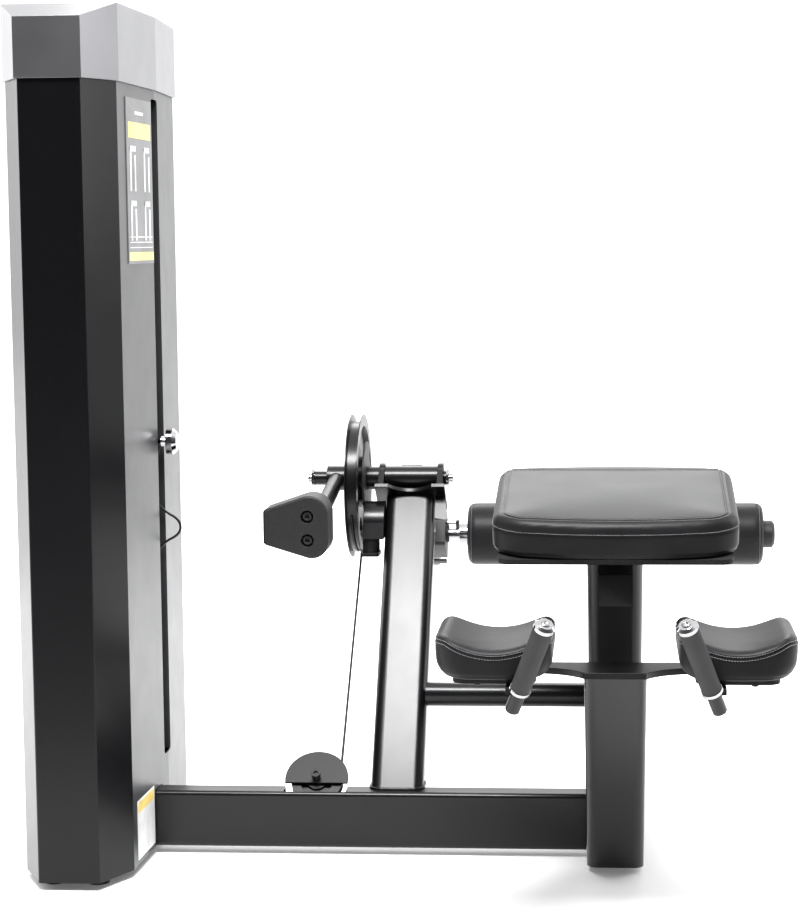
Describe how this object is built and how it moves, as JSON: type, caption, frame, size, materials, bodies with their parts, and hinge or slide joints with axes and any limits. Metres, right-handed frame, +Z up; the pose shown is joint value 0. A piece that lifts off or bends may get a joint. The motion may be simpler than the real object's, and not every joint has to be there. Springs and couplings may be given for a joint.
{
  "type": "prone leg curl machine",
  "caption": "Prone leg curl machine: weight tower on a floor beam, pivoting roller arm with a cable cam, angled bench, elbow rests and hand grips.",
  "frame": {"origin": "on the floor, at the centre of the bench's front foot, under the bench's front post", "axes": "+X from the weight tower towards the bench, +Y from the user's head towards the feet, +Z up"},
  "size_m": [1.5035, 1.6625, 1.645],
  "materials": {
    "black_gloss": "gloss black powder coat",
    "graphite": "satin graphite powder coat",
    "textured_black": "textured black",
    "plate_black": "matt black steel plate",
    "chrome": "polished chrome",
    "steel": "bright machined steel",
    "leather": "black upholstery, matt grain",
    "board": "black painted board",
    "rubber": "dark grey rubber",
    "cap": "satin grey moulding",
    "cable": "black coated cable",
    "pulley": "black nylon",
    "bearing": "black flanged bush"
  },
  "bodies": {
    "frame": {"tower_base": "black_gloss", "tower_feet": "rubber", "tower_frame": "black_gloss", "guide_rods": "chrome", "stack_cushions": "rubber", "lower_plates": "plate_black", "shroud_front": "black_gloss", "shroud_left": "graphite", "shroud_right": "graphite", "shroud_rear": "black_gloss", "tower_cap": "cap", "pulley_brackets": "black_gloss", "base_beam": "black_gloss", "pulley_guard": "textured_black", "main_cable": "cable", "floor_tube": "black_gloss", "floor_feet": "rubber", "front_post": "black_gloss", "elbow_plate": "black_gloss", "chest_post": "black_gloss", "cross_tube": "black_gloss", "bench_rail": "black_gloss", "pad_boards": "board", "chest_pad": "leather", "hip_pad": "leather", "elbow_pad_left": "leather", "elbow_pad_right": "leather", "grip_tubes": "steel", "grip_sleeves": "rubber", "grip_trims": "chrome", "upright": "black_gloss", "saddle_bracket": "black_gloss", "shaft_bearings": "bearing", "stop_lug": "steel"},
    "cam": {"cam_wheel": "black_gloss", "start_disc": "steel", "bumper_bracket": "black_gloss", "stop_bumper": "rubber", "counter_arm": "black_gloss", "counterweight": "textured_black", "counterweight_bolts": "textured_black", "cam_cable": "cable"},
    "arm": {"pivot_shaft": "steel", "movement_arm": "black_gloss", "shaft_caps": "textured_black"},
    "start_pin": {"start_pin": "textured_black"},
    "carriage": {"roller_carriage": "textured_black", "roller_shaft": "chrome", "shaft_collar": "chrome", "roller_end_cap": "textured_black"},
    "carriage_pin": {"carriage_pin": "textured_black"},
    "roller": {"roller_pad": "leather"},
    "stack": {"selector_stem": "steel", "lifted_plates": "plate_black", "drop_cable": "cable", "pin_lanyard": "cable"},
    "selector_pin": {"selector_pin": "chrome"},
    "beam_pulley": {"beam_pulley": "pulley"},
    "base_pulley": {"base_pulley": "pulley"},
    "top_pulley": {"top_pulley": "pulley"}
  },
  "joints": [
    {"name": "curl", "type": "hinge", "parent": "frame", "child": "cam", "pos_m": [-0.546, 0.44, 0.701], "axis": [1, 0, 0], "range_deg": [0, 110]},
    {"name": "start_adjust", "type": "hinge", "parent": "cam", "child": "arm", "pos_m": [-0.546, 0.44, 0.701], "axis": [1, 0, 0], "range_deg": [0, 45]},
    {"name": "start_pin_pull", "type": "slide", "parent": "arm", "child": "start_pin", "axis": [1, 0, 0], "range_m": [0, 0.008], "stiffness_N_per_m": 400, "springref_m": -0.005},
    {"name": "shin_adjust", "type": "slide", "parent": "arm", "child": "carriage", "axis": [0, 0.8988, -0.4384], "range_m": [-0.06, 0.06]},
    {"name": "carriage_pin_pull", "type": "slide", "parent": "carriage", "child": "carriage_pin", "axis": [0, -0.4384, -0.8988], "range_m": [0, 0.012], "stiffness_N_per_m": 800, "springref_m": -0.006},
    {"name": "roller_spin", "type": "hinge", "parent": "carriage", "child": "roller", "pos_m": [0, 0.77974, 0.5353], "axis": [1, 0, 0], "continuous": true},
    {"name": "stack_lift", "type": "slide", "parent": "frame", "child": "stack", "axis": [0, 0, 1], "range_m": [0, 0.2915], "deforming": ["drop_cable"]},
    {"name": "selector_pin_pull", "type": "slide", "parent": "stack", "child": "selector_pin", "axis": [1, 0, 0], "range_m": [0, 0.15]},
    {"name": "beam_pulley_spin", "type": "hinge", "parent": "frame", "child": "beam_pulley", "pos_m": [-0.591, 0.052, 0.133], "axis": [0, 0.681, -0.7323], "range_deg": [-372, 0]},
    {"name": "base_pulley_spin", "type": "hinge", "parent": "frame", "child": "base_pulley", "pos_m": [-1.055, 0.01905, 0.14736], "axis": [0, 1, 0], "range_deg": [-372, 0]},
    {"name": "top_pulley_spin", "type": "hinge", "parent": "frame", "child": "top_pulley", "pos_m": [-1.0595, 0.06452, 1.385], "axis": [0.7468, -0.6651, 0], "range_deg": [0, 275]}
  ],
  "couplings": [
    {"joint": "stack_lift", "follows": "curl", "m_per_rad": 0.1518},
    {"joint": "beam_pulley_spin", "follows": "curl", "ratio": -3.3733},
    {"joint": "base_pulley_spin", "follows": "curl", "ratio": -3.3733},
    {"joint": "top_pulley_spin", "follows": "curl", "ratio": 2.4928}
  ]
}
